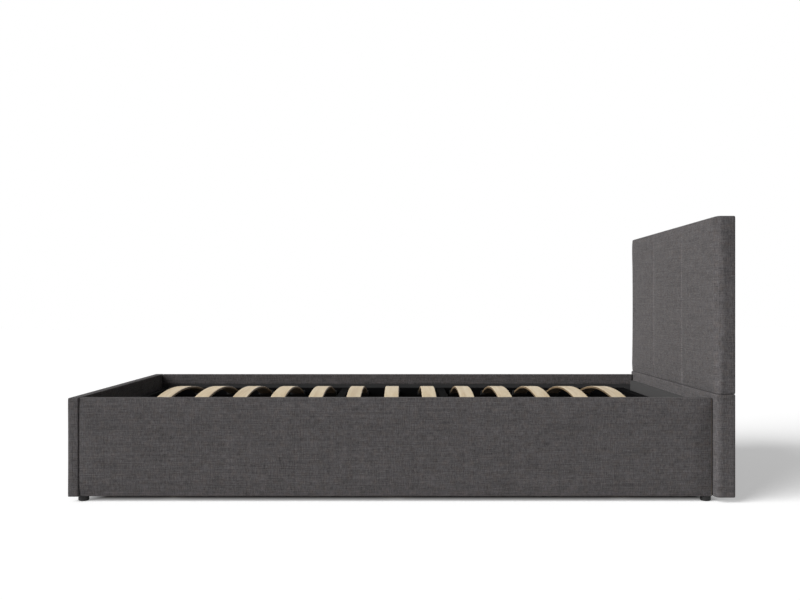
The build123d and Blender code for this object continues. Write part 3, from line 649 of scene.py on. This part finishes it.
def press_seam(piece, y, front, inwards, depth, half_width):
    """Draws the cloth in along an upright seam of the face at front, and marks it for the cloth's stitches,
    painted highlight and painted shade.
    """
    shape = bmesh.new()
    shape.from_mesh(piece.data)
    width = SEAM_LOOPS_WIDTH * half_width
    near = [v for v in shape.verts
            if abs(v.co.y - y) < width and (v.co.x - front) * inwards < SEAM_LOOPS_DEPTH]
    geom = {f for v in near for f in v.link_faces}
    for f in list(geom):
        geom.update(f.verts)
        geom.update(f.edges)
    for share in SEAM_CUTS:
        made = bmesh.ops.bisect_plane(shape, geom=list(geom), dist=CUT_SNAP,
                                      plane_co=(0, y + share * half_width, 0), plane_no=(0, 1, 0))
        geom = set(made["geom"])
    seam = shape.verts.layers.float.get("seam") or shape.verts.layers.float.new("seam")
    for v in shape.verts:
        away = abs(v.co.y - y) / half_width
        reach = 1 - (v.co.x - front) * inwards / SEAM_FADE_DEPTH
        if away >= 1 or reach <= 0:
            continue
        fade = min(1.0, reach * SEAM_FADE_SLOPE)
        v.co.x += inwards * depth * (1 - away) ** SEAM_SHARPNESS * fade
        v[seam] = (1 - away) * fade
    shape.to_mesh(piece.data)
    shape.free()
    smooth_faces(piece.data)


def lay_out_cloth(piece, run):
    """Gives the cover a UV map in metres, with the cloth's width running along one axis on its top."""
    mesh = piece.data
    layout = mesh.uv_layers.new(name="cloth_layout")
    for face in mesh.polygons:
        weights = [abs(part) for part in face.normal]
        facing = weights.index(max(weights))
        for loop in face.loop_indices:
            p = mesh.vertices[mesh.loops[loop].vertex_index].co
            if facing == ALONG:
                place = (p.y, p.z)
            elif facing == ACROSS:
                place = (p.x, p.z)
            elif run == "X":
                place = (p.x, p.y)
            else:
                place = (p.y, p.x)
            layout.data[loop].uv = place


def finish_cover(piece, cover, run):
    lay_out_cloth(piece, run)
    piece.data.materials.clear()
    piece.data.materials.append(bpy.data.materials["woven_cloth"])
    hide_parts(cover)
    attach(piece, BASE)


class OTTOMAN_OT_finishes(bpy.types.Operator):
    """Makes the materials that the pieces share"""
    bl_idname = "ottoman.finishes"
    bl_label = "Make the finishes"

    def execute(self, context):
        scene = context.scene
        woven_cloth(scene.ottoman_cloth)
        lining_felt("rail_lining", colour=(0.03, 0.03, 0.031), relief=0.0002)
        lining_felt("head_lining", colour=(0.052, 0.051, 0.051), relief=0.0001)
        birch_veneer(scene.ottoman_wood)
        sawn_timber("dark_timber", painted_highlight_and_stitches=(0.032, 0.029, 0.027), dark=(0.014, 0.012, 0.011), axis="X")
        sawn_timber("batten_timber", painted_highlight_and_stitches=(0.5, 0.36, 0.2), dark=(0.33, 0.2, 0.095), axis="Y")
        # Painted shade: the hidden boards are kept dark so that any sliver of them between the covers looks
        # like shade.
        pressed_board("board_dark_as_painted_shade", colour=(0.06, 0.047, 0.036), chips=220.0)
        pressed_board("floor_board", colour=(0.012, 0.0115, 0.011), chips=340.0)
        powder_coat("black_coat", colour=(0.0028, 0.0028, 0.003), roughness=0.92, shine=0.02)
        powder_coat("linkage_coat", colour=(0.008, 0.008, 0.0085), roughness=0.5, shine=0.2)
        powder_coat("strut_coat", colour=(0.008, 0.008, 0.009), roughness=0.22, shine=0.5)
        bare_metal("zinc_plate", colour=(0.58, 0.58, 0.56), roughness=0.34, brush=(300, 300, 300))
        bare_metal("polished_rod", colour=(0.72, 0.72, 0.73), roughness=0.12, brush=(900, 900, 900))
        moulded_plastic("black_plastic", colour=(0.007, 0.007, 0.007), roughness=0.5)
        return {"FINISHED"}


class OTTOMAN_OT_rail_covers(bpy.types.Operator):
    """Pads and covers the two side rails"""
    bl_idname = "ottoman.rail_covers"
    bl_label = "Cover the side rails"

    def execute(self, context):
        for cover in both("rail_upholstery"):
            self.cover_rail(cover, context.scene.ottoman_padding)
        return {"FINISHED"}

    def cover_rail(self, cover, padding):
        low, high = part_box(cover)
        outwards = 1 if high.y > 0 else -1
        liner_low, liner_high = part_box(cover.replace("upholstery", "liner"))
        inner = low.y if outwards > 0 else high.y
        if outwards > 0:
            high.y -= padding.rail_swell
        else:
            low.y += padding.rail_swell
        outer = high.y if outwards > 0 else low.y

        def off_inner(c):
            return abs(c.y - inner) > ON_FACE

        def stapled(p):
            return ((p.y - inner) * outwards < RAIL_HELD_DEPTH or p.z < low.z + RAIL_HELD_STRIP
                    or p.z > high.z - RAIL_HELD_TOP or p.x < low.x + RAIL_HELD_STRIP
                    or p.x > high.x - RAIL_HELD_STRIP)

        shape = block_mesh(low, high)
        round_edges(shape, lambda c, e: runs_along(e, UP) and off_inner(c) and c.x > 0, *RAIL_HEAD_EDGE)
        round_edges(shape, lambda c, e: runs_along(e, UP) and off_inner(c) and c.x < 0, *RAIL_FOOT_EDGE)
        round_edges(shape, lambda c, e: c.z > high.z - ON_FACE and off_inner(c), *RAIL_TOP_EDGE)
        round_edges(shape, lambda c, e: c.z > high.z - ON_FACE, *RAIL_TOP_RIM)
        round_edges(shape, lambda c, e: c.z < low.z + ON_FACE and off_inner(c), *RAIL_BOTTOM_EDGE)
        cut_across(shape, ALONG, even_places(low.x, high.x, padding.spacing))
        cut_across(shape, UP, even_places(low.z, high.z, padding.spacing) + [liner_high.z])
        cut_across(shape, ACROSS, even_places(low.y, high.y, padding.spacing))
        falls = [(ALONG, high.x, RAIL_HEAD_REACH), (UP, low.z, RAIL_BOTTOM_REACH), (UP, high.z, RAIL_TOP_REACH)]
        soften_face(shape, ACROSS, outer, inner, falls, padding.edge_fall)
        piece = add_piece(cover.replace("upholstery", "cover"), shape)
        swell(piece, stapled, padding.pressure, padding.rail_swell)
        subdivide_once(piece)
        for v in piece.data.vertices:
            behind_liner = liner_low.z + LINER_FOOT < v.co.z < liner_high.z - ON_FACE
            if behind_liner and abs(v.co.y - inner) < LINER_NEAR:
                v.co.y = inner + outwards * LINER_RECESS
        finish_cover(piece, cover, "X")


class OTTOMAN_OT_footboard_cover(bpy.types.Operator):
    """Pads and covers the footboard in three panels"""
    bl_idname = "ottoman.footboard_cover"
    bl_label = "Cover the footboard"

    def execute(self, context):
        padding = context.scene.ottoman_padding
        low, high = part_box("footboard_upholstery")
        front, back = low.x, high.x
        low.x -= FOOTBOARD_PROUD
        seams = panel_seams(low, high)
        shape = block_mesh(low, high)
        round_edges(shape, lambda c, e: c.z > high.z - ON_FACE or runs_along(e, UP), *FOOTBOARD_EDGE)
        round_edges(shape, lambda c, e: c.z < low.z + ON_FACE, *FOOTBOARD_BOTTOM_EDGE)
        add_loops(shape, low, high, padding.spacing)
        piece = add_piece("footboard_cover", shape)
        swell(piece, sewn_down(low, high, *FOOTBOARD_HELD, seams), padding.pressure, padding.board_swell)
        subdivide_once(piece)
        depth = FOOTBOARD_SEAM_SHARE * padding.seam_depth
        for y in seams:
            press_seam(piece, y, front, 1, depth, padding.seam_width)
            press_seam(piece, y, back, -1, depth, padding.seam_width)
        finish_cover(piece, "footboard_upholstery", "Y")
        return {"FINISHED"}


class OTTOMAN_OT_headboard_covers(bpy.types.Operator):
    """Pads and covers the two stacked pieces of the headboard"""
    bl_idname = "ottoman.headboard_covers"
    bl_label = "Cover the headboard"

    def execute(self, context):
        padding = context.scene.ottoman_padding
        self.cover_upper(padding)
        self.cover_lower(padding)
        return {"FINISHED"}

    def round_uprights(self, shape, low, high, front_edge):
        round_edges(shape, lambda c, e: c.x < low.x + ON_FACE and runs_along(e, UP), *front_edge)
        round_edges(shape, lambda c, e: c.x > high.x - ON_FACE and runs_along(e, UP), *HEAD_BACK_EDGE)

    def cover_upper(self, padding):
        low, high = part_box("headboard_upper_upholstery")
        low.x += padding.head_swell
        seams = panel_seams(low, high)
        shape = block_mesh(low, high)
        self.round_uprights(shape, low, high, UPPER_FRONT_EDGE)
        round_edges(shape, lambda c, e: c.z > high.z - ON_FACE, *HEAD_TOP_EDGE)
        round_edges(shape, lambda c, e: c.z < low.z + ON_FACE, *HEAD_SPLIT_EDGE)
        add_loops(shape, low, high, padding.spacing)
        falls = [(ACROSS, low.y, UPPER_SIDE_REACH), (ACROSS, high.y, UPPER_SIDE_REACH)]
        soften_face(shape, ALONG, low.x, high.x, falls, UPPER_SIDE_FALL)
        piece = add_piece("headboard_upper_cover", shape)
        swell(piece, sewn_down(low, high, *HEAD_HELD, seams), padding.pressure, padding.head_swell)
        subdivide_once(piece)
        for y in seams:
            press_seam(piece, y, low.x, 1, padding.seam_depth, padding.seam_width)
        finish_cover(piece, "headboard_upper_upholstery", "Y")

    def cover_lower(self, padding):
        low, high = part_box("headboard_lower_upholstery")
        lift = LOWER_SWELL_SHARE * padding.head_swell
        low.x += lift
        shape = block_mesh(low, high)
        self.round_uprights(shape, low, high, LOWER_FRONT_EDGE)
        round_edges(shape, lambda c, e: c.z > high.z - ON_FACE or c.z < low.z + ON_FACE, *HEAD_SPLIT_EDGE)
        add_loops(shape, low, high, padding.spacing)
        piece = add_piece("headboard_lower_cover", shape)
        swell(piece, sewn_down(low, high, *HEAD_HELD), padding.pressure, lift)
        subdivide_once(piece)
        finish_cover(piece, "headboard_lower_upholstery", "Y")


class OTTOMAN_OT_inside(bpy.types.Operator):
    """Finishes the linings, the hidden boards and the storage floor"""
    bl_idname = "ottoman.inside"
    bl_label = "Finish the inside"

    def execute(self, context):
        finish_nodes(both("rail_liner"), "rail_lining")
        finish_nodes(["head_liner"], "head_lining")
        finish_nodes(both("rail_board") + ["footboard_panel", "headboard_lower_panel", "headboard_upper_panel"],
                     "board_dark_as_painted_shade")
        finish_nodes(["platform_ledges"], "dark_timber")
        finish_nodes(["base_battens"], "batten_timber")
        finish_nodes(["base_panels"], "floor_board")
        return {"FINISHED"}


class OTTOMAN_OT_platform(bpy.types.Operator):
    """Finishes the lifting frame, its slats and their holders"""
    bl_idname = "ottoman.platform"
    bl_label = "Finish the platform"

    def execute(self, context):
        slats = [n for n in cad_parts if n.startswith("slat_") and n != "slat_holders"]
        finish_nodes(slats, "birch_veneer")
        finish_nodes(both("side_tube") + ["foot_end_tube", "head_end_tube", "cross_tubes"], "black_coat")
        finish_nodes(["slat_holders", "tube_end_caps"], "black_plastic")
        return {"FINISHED"}


class OTTOMAN_OT_lift(bpy.types.Operator):
    """Finishes the lift linkage, the gas struts, the fastenings and the feet"""
    bl_idname = "ottoman.lift"
    bl_label = "Finish the lift"

    def execute(self, context):
        finish_nodes(both("hinge_plate") + both("long_arm") + both("short_arm") + both("platform_bracket"),
                     "linkage_coat")
        finish_nodes(both("strut_cylinder"), "strut_coat")
        finish_nodes(both("strut_rod"), "polished_rod")
        finish_nodes(["corner_brackets", "corner_bolts", "batten_brackets", "hinge_plate_bolts",
                      "fixed_pivot_pins", "strut_lower_studs", "strut_upper_studs", "platform_bracket_bolts",
                      "platform_pivot_pins", "short_arm_rivets", "headboard_studs"], "zinc_plate")
        finish_nodes(["glide_feet"], "black_plastic")
        return {"FINISHED"}


class OTTOMAN_OT_stage(bpy.types.Operator):
    """Builds the floor, the lamp, the sky and the camera"""
    bl_idname = "ottoman.stage"
    bl_label = "Build the stage"

    def execute(self, context):
        stage = context.scene.ottoman_stage
        self.build_floor(stage)
        self.build_sky(stage)
        self.add_key(stage)
        self.add_camera(stage)
        context.scene.view_settings.view_transform = "Standard"
        return {"FINISHED"}

    def build_floor(self, stage):
        shape = bmesh.new()
        bmesh.ops.create_grid(shape, x_segments=1, y_segments=1, size=stage.floor_size / 2)
        floor = add_piece("studio_floor", shape)
        material, tree, shader = new_material("studio_floor")
        feed(tree, shader.inputs["Base Color"], (*stage.floor_colour, 1))
        set_shader(shader, Roughness=1.0, Specular_IOR_Level=0.0)
        glow = node(tree, "ShaderNodeEmission")
        # Painted shade: the floor's glow is taken away under the bed.
        glow_with_painted_bed_shade = maths(tree, "MULTIPLY", self.glow_outside_painted_bed_shade(tree), stage.floor_glow)
        feed(tree, glow.inputs["Strength"], maths(tree, "MULTIPLY", self.seen_ray(tree), glow_with_painted_bed_shade))
        lit = node(tree, "ShaderNodeAddShader")
        tree.links.new(shader.outputs[0], lit.inputs[0])
        tree.links.new(glow.outputs[0], lit.inputs[1])
        tree.links.new(lit.outputs[0], tree.nodes["Material Output"].inputs["Surface"])
        floor.data.materials.append(material)

    def glow_outside_painted_bed_shade(self, tree):
        """Painted shade under the bed: 0 on the floor deep under the bed, where the floor has no glow, rising
        to 1 at its outline.
        """
        low, high = (Vector(p) for p in cad_bounds)
        place = split(tree, object_place(tree))
        beside = maths(tree, "SUBTRACT", maths(tree, "ABSOLUTE", place[ALONG]), high.x)
        before = maths(tree, "SUBTRACT", maths(tree, "ABSOLUTE", place[ACROSS]), high.y)
        return spread_out(tree, maths(tree, "MAXIMUM", beside, before), *PAINTED_BED_SHADE_SPAN)

    def seen_ray(self, tree):
        """1 where the camera, a reflection or a clear surface looks straight at the background."""
        rays = node(tree, "ShaderNodeLightPath")
        seen = maths(tree, "MAXIMUM", rays.outputs["Is Camera Ray"], rays.outputs["Is Glossy Ray"])
        return maths(tree, "MAXIMUM", seen, rays.outputs["Is Transmission Ray"])

    def build_sky(self, stage):
        world = bpy.data.worlds.new("studio_sky")
        world.use_nodes = True
        tree = world.node_tree
        sky = tree.nodes["Background"]
        sky.inputs["Color"].default_value = (1, 1, 1, 1)
        strength = maths(tree, "MULTIPLY_ADD", self.seen_ray(tree), 1.0 - stage.sky, stage.sky)
        feed(tree, sky.inputs["Strength"], strength)
        bpy.context.scene.world = world

    def add_key(self, stage):
        light = bpy.data.lights.new("key_light", "SUN")
        light.energy = stage.key_strength
        light.angle = stage.key_spread
        holder = bpy.data.objects.new("key_light", light)
        holder.rotation_euler = Vector(stage.key_direction).to_track_quat("-Z", "Y").to_euler()
        bpy.context.scene.collection.objects.link(holder)

    def add_camera(self, stage):
        lens = bpy.data.cameras.new("camera")
        lens.lens = stage.lens
        lens.sensor_width = SENSOR_WIDTH
        lens.shift_x, lens.shift_y = CAMERA_SHIFT
        camera = bpy.data.objects.new("camera", lens)
        camera.location = stage.camera_place
        camera.rotation_euler = (math.radians(90), 0, 0)
        bpy.context.scene.collection.objects.link(camera)
        bpy.context.scene.camera = camera


class OTTOMAN_PT_panel(bpy.types.Panel):
    """Lists the bed's settings and steps in the sidebar"""
    bl_idname = "OTTOMAN_PT_panel"
    bl_label = "Ottoman bed"
    bl_space_type = "VIEW_3D"
    bl_region_type = "UI"
    bl_category = "Ottoman bed"

    def draw(self, context):
        for group in GROUPS:
            settings = getattr(context.scene, group)
            box = self.layout.box()
            for name in settings.__annotations__:
                box.prop(settings, name)
        for step in STEPS:
            self.layout.operator(step.bl_idname)


STEPS = (OTTOMAN_OT_finishes, OTTOMAN_OT_rail_covers, OTTOMAN_OT_footboard_cover, OTTOMAN_OT_headboard_covers,
         OTTOMAN_OT_inside, OTTOMAN_OT_platform, OTTOMAN_OT_lift, OTTOMAN_OT_stage)
GROUPS = {"ottoman_cloth": ClothSettings, "ottoman_padding": PaddingSettings, "ottoman_wood": WoodSettings,
          "ottoman_stage": StageSettings}


def register():
    for settings in GROUPS.values():
        bpy.utils.register_class(settings)
    for step in STEPS:
        bpy.utils.register_class(step)
    bpy.utils.register_class(OTTOMAN_PT_panel)
    for name, settings in GROUPS.items():
        setattr(bpy.types.Scene, name, bpy.props.PointerProperty(type=settings))


def unregister():
    for name in GROUPS:
        delattr(bpy.types.Scene, name)
    bpy.utils.unregister_class(OTTOMAN_PT_panel)
    for step in reversed(STEPS):
        bpy.utils.unregister_class(step)
    for settings in reversed(GROUPS.values()):
        bpy.utils.unregister_class(settings)


def main():
    register()
    for step in STEPS:
        area, name = step.bl_idname.split(".")
        getattr(getattr(bpy.ops, area), name)()


if __name__ == "__main__":
    main()
